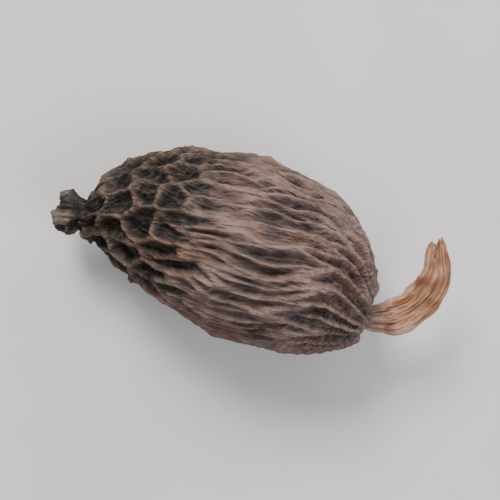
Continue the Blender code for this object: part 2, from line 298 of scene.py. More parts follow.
@dataclass
class Skin:
    """A grid of rings, with what its finish reads at each point.

    Args:
        points: The rings' points.
        relief: Height for the colour, 0 in a pit to 1 on a crest; its low end is partly painted shade in
            pits, grooves and hollows.
        tip: Share of the second row of colours.
        grain: Place across and along the fibres, in millimetres.
    """

    points: Array
    relief: Array
    tip: Array
    grain: Array

    def piece(self, name: str, finish: bpy.types.Material) -> bpy.types.Object:
        """Make one closed piece of the rings, with a pole in the middle of its first and last ring.

        Args:
            name: Name of the piece.
            finish: Its material.

        Returns:
            The dressed piece, with the other grids as its mesh's attributes.
        """
        ring_count, sides = self.points.shape[:2]
        index = np.arange(ring_count * sides).reshape(ring_count, sides)
        following = np.roll(index, -1, axis=1)
        quads = np.stack([index[:-1], following[:-1], following[1:], index[1:]], axis=-1).reshape(-1, 4)
        pole = np.full(sides, ring_count * sides)
        opening = np.stack([pole, following[0], index[0]], axis=-1)
        closing = np.stack([pole + 1, index[-1], following[-1]], axis=-1)
        mesh = bpy.data.meshes.new(name)
        faces = quads.tolist() + opening.tolist() + closing.tolist()
        mesh.from_pydata(self.with_poles(self.points).tolist(), [], faces)
        for title in ("relief", "tip", "grain"):
            value = self.with_poles(getattr(self, title)).astype(np.float32)
            is_vector = value.ndim > 1
            store = mesh.attributes.new(title, "FLOAT_VECTOR" if is_vector else "FLOAT", "POINT")
            store.data.foreach_set("vector" if is_vector else "value", value.ravel())
        mesh.materials.append(finish)
        mesh.shade_smooth()
        mesh.update()
        return put_in_scene(name, mesh)

    @staticmethod
    def with_poles(grid: Array) -> Array:
        """Lay a grid out point by point, and add the means of its first and last ring."""
        poles = np.stack([grid[0].mean(axis=0), grid[-1].mean(axis=0)])
        return np.concatenate([grid.reshape(-1, *grid.shape[2:]), poles])


# Node helpers


@dataclass
class NodeSheet:
    """Places and links shader nodes in one tree.

    Args:
        tree: The node tree of a material or a group.
    """

    tree: Tree

    def add(self, kind: str, settings: dict | None = None, **inputs: object) -> bpy.types.Node:
        """Place a node.

        Args:
            kind: The node's type name.
            settings: Properties of the node.
            inputs: Socket names with underscores for spaces, or s0, s1 for numbered sockets.
                A socket value is linked and anything else is set.

        Returns:
            The node.
        """
        node = self.tree.nodes.new(kind)
        for key, value in (settings or {}).items():
            setattr(node, key, value)
        for key, value in inputs.items():
            numbered = key[0] == "s" and key[1:].isdigit()
            socket = node.inputs[int(key[1:])] if numbered else node.inputs[key.replace("_", " ")]
            if isinstance(value, Socket):
                self.tree.links.new(value, socket)
            else:
                socket.default_value = value
        return node

    def maths(self, operation: str, first: object, second: object, limit: bool = False) -> Socket:
        """Result of a math node on two values or sockets, kept within 0 and 1 if it is limited."""
        settings = {"operation": operation, "use_clamp": limit}
        return self.add("ShaderNodeMath", settings, s0=first, s1=second).outputs[0]

    def remap(self, value: Socket, source: Pair, target: Pair) -> Socket:
        """Stretch a value from its source range to a target range, and keep it there."""
        ends = {"s1": source[0], "s2": source[1], "s3": target[0], "s4": target[1]}
        return self.add("ShaderNodeMapRange", s0=value, **ends).outputs[0]

    def mix(self, share: object, first: object, second: object, blend: str = "MIX") -> Socket:
        """Mix a share of the second colour into the first, by the blend of that name."""
        settings = {"data_type": "RGBA", "blend_type": blend}
        return self.add("ShaderNodeMix", settings, s0=share, s6=first, s7=second).outputs[2]

    def ramp(self, value: Socket, stops: Stops) -> Socket:
        """Turn a value into a colour.

        Args:
            value: The value, 0 to 1.
            stops: Places and their colours.

        Returns:
            The colour.
        """
        node = self.add("ShaderNodeValToRGB", s0=value)
        elements = node.color_ramp.elements
        while len(elements) < len(stops):
            elements.new(0.5)
        for element, (place, colour) in zip(elements, stops):
            element.position = place
            element.color = (*colour, 1.0)
        return node.outputs["Color"]

    def attribute(self, name: str, output: str = "Fac") -> Socket:
        """Read a named attribute of the mesh."""
        return self.add("ShaderNodeAttribute", {"attribute_name": name}).outputs[output]

    def noise(self, vector: Socket, scale: object, detail: float) -> Socket:
        """Read smooth noise at a place, 0 to 1."""
        return self.add("ShaderNodeTexNoise", Vector=vector, Scale=scale, Detail=detail).outputs[0]


def fibre_group() -> Tree:
    """Make the shared fibre pattern: noise drawn out along the grain, in a coarse and a fine layer.

    Returns:
        The group, with inputs Grain, Coarse and Fine, and outputs Streak and Height.
    """
    group = bpy.data.node_groups.new("drawn_out_fibres", "ShaderNodeTree")
    group.interface.new_socket("Grain", in_out="INPUT", socket_type="NodeSocketVector")
    for title in ("Coarse", "Fine"):
        group.interface.new_socket(title, in_out="INPUT", socket_type="NodeSocketFloat")
    for title in FIBRE_PARTS:
        group.interface.new_socket(title, in_out="OUTPUT", socket_type="NodeSocketFloat")
    sheet = NodeSheet(group)
    given = group.nodes.new("NodeGroupInput").outputs
    result = group.nodes.new("NodeGroupOutput").inputs
    coarse = sheet.noise(given["Grain"], given["Coarse"], detail=4.0)
    fine = sheet.noise(given["Grain"], given["Fine"], detail=2.0)
    sharp = sheet.remap(fine, FIBRE_SHARPENING, WHOLE)
    for title, (coarse_part, fine_part) in FIBRE_PARTS.items():
        layer = sheet.maths("MULTIPLY", coarse, coarse_part)
        both = sheet.maths("ADD", layer, sheet.maths("MULTIPLY", sharp, fine_part))
        group.links.new(both, result[title])
    return group


@dataclass(frozen=True)
class DriedFinish:
    """A dry plant tissue: colours from its deepest pit to its highest crest, with fibre streaks.

    A stop is a height, 0 in a pit to 1 on a crest, and its colour; the dark low stops hold the painted shade
    that a piece's tone puts in its pits and grooves, together with their own colour. The tip's stops hold
    where the piece's tip share is 1. The dust lies on the crests. The fibres' bump is in metres, and the
    grit's is a share of it. A roughness holds that of the pits and of the crests. A band of noise is where
    an effect starts and where it is full.
    """

    name: str
    stops: Stops
    tip_stops: Stops
    warm: Triple
    cool: Triple
    dust: Triple
    dust_share: float
    streak_share: float
    coarse: float
    fine: float
    bump: float
    roughness: Pair
    patch_scale: float = 260.0
    warm_band: Pair = (0.48, 0.68)
    warm_most: float = 0.75
    cool_band: Pair = (0.46, 0.30)
    cool_most: float = 0.80
    shade_scale: float = 620.0
    shade_band: Pair = (0.30, 0.70)
    shade_range: Pair = (0.76, 1.18)
    grit_scale: float = 5200.0
    grit_bump: float = 0.35
    dust_from: float = 0.55
    dust_gain: float = 2.0
    specular: float = 0.35

    def make(self, fibres: Tree) -> bpy.types.Material:
        """Build the material.

        Args:
            fibres: The shared fibre group.

        Returns:
            The material.
        """
        material = bpy.data.materials.new(self.name)
        material.use_nodes = True
        links = material.node_tree.links
        sheet = NodeSheet(material.node_tree)
        shader = material.node_tree.nodes["Principled BSDF"]
        place = sheet.add("ShaderNodeTexCoord").outputs["Object"]
        height = sheet.attribute("relief")
        grit = sheet.noise(place, self.grit_scale, detail=2.0)
        scales = {"Grain": sheet.attribute("grain", "Vector"), "Coarse": self.coarse, "Fine": self.fine}
        fibre = sheet.add("ShaderNodeGroup", {"node_tree": fibres}, **scales).outputs
        centred = sheet.maths("SUBTRACT", fibre["Streak"], 0.5)
        level = sheet.maths("ADD", height, sheet.maths("MULTIPLY", centred, self.streak_share), limit=True)
        body = sheet.ramp(level, self.stops)
        colour = sheet.mix(sheet.attribute("tip"), body, sheet.ramp(level, self.tip_stops))

        patches = sheet.noise(place, self.patch_scale, detail=4.0)
        warm_share = sheet.remap(patches, self.warm_band, (0.0, self.warm_most))
        colour = sheet.mix(warm_share, colour, (*self.warm, 1.0), "MULTIPLY")
        cool_share = sheet.remap(patches, self.cool_band, (0.0, self.cool_most))
        colour = sheet.mix(cool_share, colour, (*self.cool, 1.0), "MULTIPLY")
        blotches = sheet.noise(place, self.shade_scale, detail=3.0)
        shade = sheet.remap(blotches, self.shade_band, self.shade_range)
        tone = sheet.add("ShaderNodeCombineColor", s0=shade, s1=shade, s2=shade).outputs[0]
        colour = sheet.mix(1.0, colour, tone, "MULTIPLY")

        above = sheet.maths("SUBTRACT", height, self.dust_from, limit=True)
        settled = sheet.maths("MULTIPLY", above, self.dust_gain, limit=True)
        gritty = sheet.maths("MULTIPLY", settled, grit)
        dusted = sheet.maths("MULTIPLY", gritty, self.dust_share, limit=True)
        colour = sheet.mix(dusted, colour, (*self.dust, 1.0))
        links.new(colour, shader.inputs["Base Color"])
        links.new(sheet.remap(level, WHOLE, self.roughness), shader.inputs["Roughness"])

        texture = sheet.maths("ADD", fibre["Height"], sheet.maths("MULTIPLY", grit, self.grit_bump))
        bump = sheet.add("ShaderNodeBump", Strength=1.0, Distance=self.bump, Height=texture)
        links.new(bump.outputs["Normal"], shader.inputs["Normal"])
        shader.inputs["Specular IOR Level"].default_value = self.specular
        return material


HUSK_FINISH = DriedFinish(
    name="dried_husk",
    # From pit to crest: the dark low stops are the grooves' own colour and painted shade together
    stops=(
        (0.0, (0.036, 0.028, 0.027)),
        (0.24, (0.066, 0.048, 0.046)),
        (0.46, (0.094, 0.062, 0.055)),
        (0.70, (0.129, 0.079, 0.065)),
        (1.0, (0.178, 0.112, 0.094)),
    ),
    tip_stops=(
        (0.0, (0.006, 0.005, 0.005)),
        (0.26, (0.019, 0.014, 0.012)),
        (0.50, (0.040, 0.026, 0.019)),
        (0.74, (0.063, 0.039, 0.026)),
        (1.0, (0.098, 0.061, 0.039)),
    ),
    warm=(1.12, 0.82, 0.66),
    cool=(0.80, 0.86, 0.92),
    dust=(0.24, 0.19, 0.17),
    dust_share=0.30,
    streak_share=1.30,
    coarse=1.5,
    fine=4.6,
    bump=0.00024,
    roughness=(0.88, 0.66),
)

CALYX_FINISH = DriedFinish(
    name="shrivelled_calyx",
    stops=(
        (0.0, (0.006, 0.005, 0.005)),
        (0.40, (0.016, 0.012, 0.011)),
        (0.75, (0.040, 0.027, 0.021)),
        (1.0, (0.100, 0.066, 0.048)),
    ),
    tip_stops=((0.0, (0.006, 0.005, 0.005)), (1.0, (0.10, 0.07, 0.055))),
    warm=(1.0, 0.85, 0.78),
    cool=(0.85, 0.90, 0.95),
    dust=(0.16, 0.13, 0.11),
    dust_share=0.2,
    streak_share=0.6,
    coarse=3.0,
    fine=10.0,
    bump=0.00008,
    roughness=(0.85, 0.6),
)

STALK_FINISH = DriedFinish(
    name="coppery_stalk",
    stops=(
        (0.0, (0.050, 0.022, 0.011)),
        (0.30, (0.150, 0.060, 0.027)),
        (0.60, (0.268, 0.117, 0.060)),
        (0.85, (0.375, 0.188, 0.108)),
        (1.0, (0.470, 0.295, 0.205)),
    ),
    tip_stops=(
        (0.0, (0.048, 0.027, 0.020)),
        (0.40, (0.120, 0.070, 0.054)),
        (0.80, (0.210, 0.134, 0.110)),
        (1.0, (0.300, 0.210, 0.180)),
    ),
    warm=(1.0, 0.80, 0.60),
    cool=(0.80, 0.74, 0.70),
    dust=(0.52, 0.42, 0.36),
    dust_share=0.25,
    streak_share=0.8,
    coarse=2.4,
    fine=8.0,
    bump=0.00006,
    roughness=(0.7, 0.48),
)


# Husk


@dataclass(frozen=True)
class Profile:
    """The husk's half-width along it: a blunted half sine wave, with a neck at the tip.

    Lengths are in metres, and shares are of the length. The first power puts the widest place past the
    middle, and the end rounding is what the bluntness gains towards the stalk end.
    """

    length: float = 0.0229
    half_width: float = 0.0066
    widest_power: float = 1.18
    bluntness: float = 0.35
    end_rounding: float = 0.08
    neck_share: float = 0.022
    neck_radius: float = 0.00155
    neck_fade: float = 0.12
    end_share: float = 0.995
    samples: int = 2000

    def radius(self, along: Array) -> Array:
        """Half-width at a share of the length: the swollen body and the neck, added as squares.

        Args:
            along: Share of the length.

        Returns:
            The half-width in metres.
        """
        length = np.clip(along, 0.0, 1.0)
        swell = np.clip(np.sin(math.pi * length**self.widest_power), 0.0, 1.0)
        body = self.half_width * swell ** (self.bluntness + self.end_rounding * length**4)
        neck = self.neck_radius * (1.0 - smooth_step(0.0, self.neck_fade, along))
        return np.hypot(body, neck)

    @cached_property
    def runs(self) -> tuple[Array, Array]:
        """Follow the surface from neck to end.

        Returns:
            Shares of the length, and how far each lies along the surface.
        """
        along = np.linspace(-self.neck_share, self.end_share, self.samples)
        steps = np.hypot(np.diff(along) * self.length, np.diff(self.radius(along)))
        return along, np.concatenate([[0.0], np.cumsum(steps)])

    @property
    def whole_run(self) -> float:
        """Length of the surface from neck to end."""
        return self.runs[1][-1]

    def run_at(self, along: Array) -> Array:
        """How far a share of the length lies along the surface."""
        return np.interp(along, self.runs[0], self.runs[1])

    def along_at(self, run: Array | float) -> Array:
        """The share of the length that lies so far along the surface."""
        return np.interp(run, self.runs[1], self.runs[0])


@dataclass(frozen=True)
class Net:
    """The raised net: a rib runs where a point is as near to one cell's centre as to the next one's.

    A cell is its length and width in metres. The ribs' half-widths, the rows and the strays are in cells,
    and crests and grooves in rib heights. Between the two shares of the run in change, the open net of the
    tip turns into the long, close ribs of the body. The tones are that of plain skin, what a crest adds,
    the part of that which it keeps when it is worn away, and what a groove and the tip take. A groove's
    darkening grows with its depth: it is partly its own colour and partly painted shade.
    """

    seed: int = 11
    body_cell: Pair = (0.0090, 0.00110)
    tip_cell: Pair = (0.0031, 0.00210)
    body_rib: float = 0.30
    tip_rib: float = 0.21
    change: Pair = (0.28, 0.46)
    margin: float = 0.001
    row_step: float = 0.74
    fewest: int = 6
    row_stray: float = 0.15
    stray_around: float = 0.34
    stray_along: float = 0.24
    twist: float = 0.62
    weave: WaveNoise = WaveNoise(seed=12, waves=8, most_along=3.0, most_around=4, size=0.055)
    ripple: WaveNoise = WaveNoise(seed=16, waves=9, most_along=7.0, most_around=9, size=0.026)
    drift: WaveNoise = WaveNoise(seed=13, waves=6, most_along=3.0, most_around=7, size=0.0003)
    wear: WaveNoise = WaveNoise(seed=14, waves=12, most_along=5.0, most_around=14, least_around=2, size=0.26)
    crest_mean: float = 0.80
    crest_range: Pair = (0.30, 1.20)
    silt: WaveNoise = WaveNoise(seed=17, waves=16, most_along=8.0, most_around=22, least_around=7)
    groove_depth: float = 0.60
    groove_filled: float = 0.45
    tip_groove: float = 0.10
    pit_level: float = 0.15
    plain_tone: float = 0.38
    crest_tone: float = 0.46
    unworn: float = 0.45
    # How much darker a groove is painted the deeper it is sunk: partly its own colour, partly painted shade
    groove_colour_and_shade: float = 0.30
    tip_tone: float = 0.14

    def cell_size(self, share: Array | float) -> tuple[Array, Array]:
        """Length and width of the cells at a share of the run, blended from tip to body."""
        body = smooth_step(*self.change, share)
        return tuple(tip + (rest - tip) * body for tip, rest in zip(self.tip_cell, self.body_cell))

    def centres(self, profile: Profile) -> list[Pair]:
        """Place the cells in rows round the pod, each row shifted by half a cell.

        Args:
            profile: The husk's profile.

        Returns:
            Each centre's run and angle.
        """
        draw = np.random.default_rng(self.seed)
        centres = []
        run = -self.margin
        row = 0
        while run < profile.whole_run + 2.0 * self.margin:
            length, width = map(float, self.cell_size(run / profile.whole_run))
            count = max(self.fewest, round(TURN * float(profile.radius(profile.along_at(run))) / width))
            turn = 0.5 * (row % 2) + draw.uniform(-self.row_stray, self.row_stray)
            for place in range(count):
                strayed = place + turn + draw.uniform(-self.stray_around, self.stray_around)
                along = run + length * draw.uniform(-self.stray_along, self.stray_along)
                centres.append((along, TURN * strayed / count))
            run += self.row_step * length
            row += 1
        return centres

    def border(self, along: Array, angle: Array, profile: Profile) -> Array:
        """How far each point is from the border between the two cells nearest to it.

        Args:
            along: Share of the length, as a column.
            angle: Angle round the pod, as a row.
            profile: The husk's profile.

        Returns:
            Half the difference of the two distances, in cells.
        """
        run = profile.run_at(along) + self.drift.at(along, angle)
        wander = self.weave.at(along, angle) + self.ripple.at(along, angle)
        angle = angle + self.twist * along + wander
        radius = profile.radius(along)
        length, width = self.cell_size(run / profile.whole_run)
        nearest = np.full(angle.shape, np.inf)
        second = np.full(angle.shape, np.inf)
        for centre_run, centre_angle in self.centres(profile):
            turn = (angle - centre_angle + math.pi) % TURN - math.pi
            distance = np.hypot((run - centre_run) / length, turn * radius / width)
            second = np.minimum(second, np.maximum(nearest, distance))
            nearest = np.minimum(nearest, distance)
        return (second - nearest) / 2.0

    def layers(self, along: Array, angle: Array, share: Array, profile: Profile) -> tuple[Array, Array]:
        """Work out the net: a cosine crest along each border, worn unevenly, over grooves filled unevenly.

        Args:
            along: Share of the length, as a column.
            angle: Angle round the pod.
            share: Share of the run, as a column.
            profile: The husk's profile.

        Returns:
            The net's height in rib heights, and its tone: crests are pale, the tip dark, and grooves dark,
            partly from painted shade.
        """
        tip = 1.0 - smooth_step(*self.change, share)
        half_rib = self.body_rib + (self.tip_rib - self.body_rib) * tip
        away = np.clip(self.border(along, angle, profile) / half_rib, 0.0, 1.0)
        net = np.cos(0.5 * math.pi * away) ** 2
        worn = np.clip(self.crest_mean + self.wear.at(along, angle), *self.crest_range)
        silt = np.clip(self.silt.at(along, angle), -1.0, 1.0)
        sunk = self.groove_depth - self.groove_filled * (0.5 + 0.5 * silt) + self.tip_groove * tip
        relief = worn * net - sunk * (1.0 - net) - self.pit_level
        pale = self.crest_tone * net**2 * (self.unworn + (1.0 - self.unworn) * worn)
        # Grooves are darkened by their depth: partly their own colour, partly painted shade
        tone = self.plain_tone + pale - self.groove_colour_and_shade * sunk * (1.0 - net) - self.tip_tone * tip
        return relief, tone


@dataclass(frozen=True)
class RestSpot:
    """The small flat spot that the pod rests on.

    The smooth husk sinks a little below it, and the net comes up again over the fade round it.
    """

    sink: float = 0.00040
    half_length: float = 0.0030
    half_width: float = 0.0017
    fade: float = 0.0009

    def share(self, body: Array, angle: Array) -> Array:
        """1 on the flat spot under the husk's lowest point, 0 away from it.

        Args:
            body: Points of the smooth husk.
            angle: Angle round the pod.

        Returns:
            The share for each point.
        """
        lowest = np.unravel_index(body[..., 2].argmin(), body.shape[:2])
        away = (body - body[lowest])[..., :2] / (self.half_length, self.half_width)
        reach = np.linalg.norm(away, axis=-1)
        return (1.0 - smooth_step(1.0, 1.0 + self.fade / self.half_width, reach)) * (angle % TURN > math.pi)


@dataclass(frozen=True)
class Wrinkles:
    """The fine wrinkles, crinkles and pores of the husk's skin.

    A part is a share of the wrinkles' height, and a tone is what a layer adds to the colour.
    """

    height: float = 0.00024
    wrinkle: LatticeNoise = LatticeNoise(seed=5, spacing=0.00048)
    crinkle: LatticeNoise = LatticeNoise(seed=15, spacing=0.00025)
    pore: LatticeNoise = LatticeNoise(seed=9, spacing=0.00035)
    crinkle_part: float = 0.35
    pore_part: float = 0.35
    wrinkle_tone: float = 0.50
    crinkle_tone: float = 0.45

    def layers(self, grain: Array, spot: Array) -> tuple[Array, Array]:
        """Add up the creased and the smooth layers.

        Args:
            grain: Points drawn out along the fibres.
            spot: The same points, not drawn out.

        Returns:
            What the wrinkles add to the height, and to the tone.
        """
        wrinkle = self.wrinkle.creased(grain) - CREASE_MEAN
        crinkle = self.crinkle.creased(grain) - CREASE_MEAN
        uneven = wrinkle + self.crinkle_part * crinkle + self.pore_part * self.pore.smooth(spot)
        return self.height * uneven, self.wrinkle_tone * wrinkle + self.crinkle_tone * crinkle


@dataclass
class Husk:
    """The closed seed pod with its wavy ribs, its net near the tip, its neck and its flat spot.

    A shift holds how far an end sits off the middle, and the power with which that fades. The net rises at
    the neck and sinks at the end between the fades' shares of the run, and the tip's colours turn into the
    body's between those of the tip band, along a border that strays and leans to one side. A grid holds
    its sides, its rings and how much these crowd near the tip. The last three fields are found when the
    husk is placed: where the frame holds it, and the bottoms of its two dimples.
    """

    profile: Profile = Profile()
    net: Net = Net()
    rest: RestSpot = RestSpot()
    wrinkles: Wrinkles = Wrinkles()
    flatness: float = 0.90
    corners: RoundWave = RoundWave(crests=3, height=0.040, phase=-3.0 * math.radians(105))
    shrivel: WaveNoise = WaveNoise(seed=11, waves=6, most_along=1.4, most_around=3, size=0.030)
    tip_shift: Pair = (0.0019, 20.0)
    end_shift: Pair = (0.0016, 12.0)
    tip_droop: float = 0.0009
    tip_dimple: float = 0.0007
    end_dimple: float = 0.0009
    rib_height: float = 0.00058
    fade_in: Pair = (0.0, 0.05)
    fade_out: Pair = (0.965, 1.0)
    tip_band: Pair = (0.22, 0.50)
    stray: WaveNoise = WaveNoise(seed=15, waves=5, most_along=2.0, most_around=3, size=0.06)
    lean: float = 0.08
    grain_run: float = 0.16
    grain_radius: float = 0.35
    solid_grid: tuple[int, int, float] = (168, 31, 0.8)
    grid: tuple[int, int, float] = (420, 216, 0.35)
    dimple_rings: int = 6
    offset: Array = field(init=False)
    tip: Array = field(init=False)
    end: Array = field(init=False)

    def body(self, along: Array, angle: Array) -> Array:
        """Points of the smooth husk: each section is a rounded, flattened triangle with hollows.

        Args:
            along: Share of the length, as a column.
            angle: Angle round the pod.

        Returns:
            The grid of points.
        """
        uneven = (1.0 + self.corners.at(angle)) * (1.0 + self.shrivel.at(along, angle))
        radius = self.profile.radius(along) * uneven
        length = np.clip(along, 0.0, 1.0)
        tip_shift = self.tip_shift[0] * (1.0 - length) ** self.tip_shift[1]
        end_shift = self.end_shift[0] * length ** self.end_shift[1]
        y = radius * np.cos(angle) - tip_shift - end_shift
        z = self.flatness * radius * np.sin(angle) - self.tip_droop * (1.0 - length) ** 2
        return grid_of(self.profile.length * along, y, z)

    def dimple(self, rim: Array, inward: float) -> Array:
        """Rings that close a dimple, deepening with the square of the way in.

        Args:
            rim: The ring round the dimple.
            inward: Depth along X.

        Returns:
            The rings, from the rim in.
        """
        middle = rim.mean(axis=0)
        share = np.linspace(1.0, 0.0, self.dimple_rings + 2)[1:-1, None, None]
        rings = middle + (rim - middle) * share
        rings[..., 0] += inward * (1.0 - share[..., 0] ** 2)
        return rings

    def skin(self, sides: int, rings: int, crowding: float, fine: bool) -> Skin:
        """Work out the husk's grid: the smooth body, moved out along its normals by the raised net.

        Args:
            sides: Points in a ring.
            rings: Rings from neck to end.
            crowding: How much closer the rings lie near the tip.
            fine: Whether fine wrinkles are added between and on the ribs.

        Returns:
            The husk's skin.
        """
        step = np.linspace(0.0, 1.0, rings)
        crowded = (np.exp(crowding * step) - 1.0) / (math.exp(crowding) - 1.0)
        run = (crowded * self.profile.whole_run)[:, None]
        share = run / self.profile.whole_run
        along = self.profile.along_at(run)
        turned = np.linspace(0.0, TURN, sides, endpoint=False)[None, :]
        angle = turned - self.net.twist * along

        body = self.body(along, angle)
        body[..., 2] -= body[..., 2].min() + self.rest.sink
        raised = 1.0 - self.rest.share(body, angle)
        ends = smooth_step(*self.fade_in, share) * (1.0 - smooth_step(*self.fade_out, share))
        # The net's tone darkens the grooves by their depth: partly their own colour, partly painted shade
        relief, tone = self.net.layers(along, angle, share, self.profile)
        height = self.rib_height * ends * raised * relief

        radius = np.maximum(self.profile.radius(along), self.grain_radius * self.profile.half_width)
        across, up = radius * np.cos(turned), radius * np.sin(turned)
        grain = grid_of(across, up, self.grain_run * run)
        if fine:
            added_height, added_tone = self.wrinkles.layers(grain, grid_of(across, up, run))
            height = height + raised * added_height
            tone = tone + added_tone
        points = body + grid_normals(body) * height[..., None]
        points[..., 2] = np.maximum(points[..., 2], 0.0)
        strayed = share + self.stray.at(along, angle) - self.lean * np.cos(angle)
        tip = 1.0 - smooth_step(*self.tip_band, strayed)
        return Skin(points, np.clip(tone, 0.0, 1.0), tip, grain * MILLIMETRES)

    def place(self) -> None:
        """Find where the frame holds the husk, from the box of the same grid as the solid's."""
        solid = self.skin(*self.solid_grid, fine=False).points
        low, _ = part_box(Piece.HUSK.value[0])
        self.offset = np.array(low) - solid.reshape(-1, 3).min(axis=0)
        self.offset[2] = 0.0
        self.tip = solid[0].mean(axis=0) + self.offset + np.array([self.tip_dimple, 0.0, 0.0])
        self.end = solid[-1].mean(axis=0) + self.offset - np.array([self.end_dimple, 0.0, 0.0])

    def build(self, fibres: Tree) -> bpy.types.Object:
        """Make the husk's fine mesh and dress it.

        Args:
            fibres: The shared fibre group.

        Returns:
            The husk.
        """
        self.place()
        skin = self.skin(*self.grid, fine=True)
        points = skin.points + self.offset
        first = self.dimple(points[0], self.tip_dimple)[::-1]
        last = self.dimple(points[-1], -self.end_dimple)
        skin.points = np.concatenate([first, points, last])
        rows = np.clip(np.arange(-len(first), len(points) + len(last)), 0, len(points) - 1)
        for title in ("relief", "tip", "grain"):
            setattr(skin, title, getattr(skin, title)[rows])
        return skin.piece("pod_husk", HUSK_FINISH.make(fibres))


# Calyx remnant


@dataclass
class CalyxRemnant:
    """The shrivelled tube of the flower's calyx, in the dimple of the neck.

    Folds and creases are in shares of the radius, and the lobes and frays of the rim in shares of the
    length. The tone is that of the plain tube, then what folds and dents add.
    """

    husk: Husk
    length: float = 0.0024
    radius: float = 0.00155
    flare: float = 0.00010
    pinch: float = 0.20
    pinch_run: float = 0.625
    root_share: float = 0.35
    root_run: float = 0.40
    root_fold: float = 0.3
    folds: tuple[RoundWave, ...] = (RoundWave(3, 0.10, 0.4), RoundWave(7, 0.07, 1.9))
    crumple: WaveNoise = WaveNoise(seed=31, waves=7, most_along=1.6, most_around=6, size=0.09)
    creases: tuple[RoundWave, ...] = (RoundWave(17, 0.035, slant=2.0), RoundWave(29, 0.025, slant=-3.0))
    rim: tuple[RoundWave, ...] = (
        RoundWave(2, 0.10, 1.1),
        RoundWave(5, 0.06),
        RoundWave(13, 0.025, 0.7),
        RoundWave(23, 0.02),
    )
    cup_depth: float = 0.0006
    cup_radius: float = 0.000175
    cup_rim: float = 0.16
    cup_power: float = 0.6
    cup_creases: float = 0.8
    dent: LatticeNoise = LatticeNoise(seed=27, spacing=0.0011)
    dent_height: float = 0.00022
    pucker: LatticeNoise = LatticeNoise(seed=21, spacing=0.0004)
    pucker_height: float = 0.00010
    tone: Triple = (0.42, 1.2, 1.1)
    cup_shade: float = 0.9
    rim_light: float = 0.30
    grain_run: float = 0.2
    tilt: float = math.radians(-96)
    turn: float = math.radians(20)
    sides: int = 160
    rings: int = 70
    cup_rings: int = 34

    def skin(self) -> Skin:
        """Work out the tube: pinched and folded, flared to a ragged rim, then down into its cup.

        Returns:
            The remnant's skin, along its own +Z.
        """
        angle = np.linspace(0.0, TURN, self.sides, endpoint=False)[None, :]
        share = np.linspace(0.0, 1.0, self.rings)[:, None]
        folds = sum(wave.at(angle) for wave in self.folds) + self.crumple.at(share, angle)
        fine = sum(wave.at(angle, share) for wave in self.creases)
        ragged = sum(wave.at(angle) for wave in self.rim)
        pinch = 1.0 - self.pinch * np.sin(math.pi * np.minimum(share / self.pinch_run, 1.0))
        swell = np.minimum(1.0, share / self.root_run)
        root = np.sqrt(self.root_share**2 + (1.0 - self.root_share**2) * swell)
        crease = 1.0 + (folds + fine) * np.minimum(1.0, self.root_fold + share)
        radius = (self.radius * pinch * root + self.flare * share**2) * crease
        height = self.length * share * (1.0 + ragged * share**3)

        inner = np.linspace(0.0, 1.0, self.cup_rings + 1)[1:, None]
        rim_radius = (self.radius + self.flare) * (1.0 + folds[-1:])
        way_in = self.cup_rim + (1.0 - self.cup_rim) * inner
        cup = rim_radius + (self.cup_radius - rim_radius) * way_in
        depth = height[-1:] - (height[-1:] - self.length + self.cup_depth) * inner**self.cup_power
        radius = np.concatenate([radius, cup * (1.0 + fine[-1:] * self.cup_creases)])
        height = np.concatenate([height, depth])

        points = grid_of(radius * np.cos(angle), radius * np.sin(angle), height)
        dents = self.dent.creased(points) - CREASE_MEAN
        points += self.dent_height * dents[..., None] * grid_normals(points)
        puckers = self.pucker.creased(points) - CREASE_MIDDLE
        points += self.pucker_height * puckers[..., None] * grid_normals(points)

        ridged = np.concatenate([folds + fine, np.repeat((folds + fine)[-1:], self.cup_rings, axis=0)])
        tone = weighted(self.tone, 1.0, ridged, dents)
        tone[self.rings :] *= 1.0 - self.cup_shade * inner
        tone[: self.rings] += self.rim_light * share**4
        grain = grid_of(self.radius * np.cos(angle), self.radius * np.sin(angle), self.grain_run * height)
        return Skin(points, np.clip(tone, 0.0, 1.0), np.zeros_like(height), grain * MILLIMETRES)

    def build(self, fibres: Tree) -> bpy.types.Object:
        """Make the remnant, turn its mesh into place and dress it.

        Args:
            fibres: The shared fibre group.

        Returns:
            The remnant.
        """
        skin = self.skin()
        spin = np.array(Euler((0.0, self.tilt, self.turn)).to_matrix())
        seat = self.husk.tip - np.array([SEAT_GAP, 0.0, 0.0])
        skin.points = skin.points @ spin.T + seat
        return skin.piece("calyx_tube", CALYX_FINISH.make(fibres))


# Stalk scrap


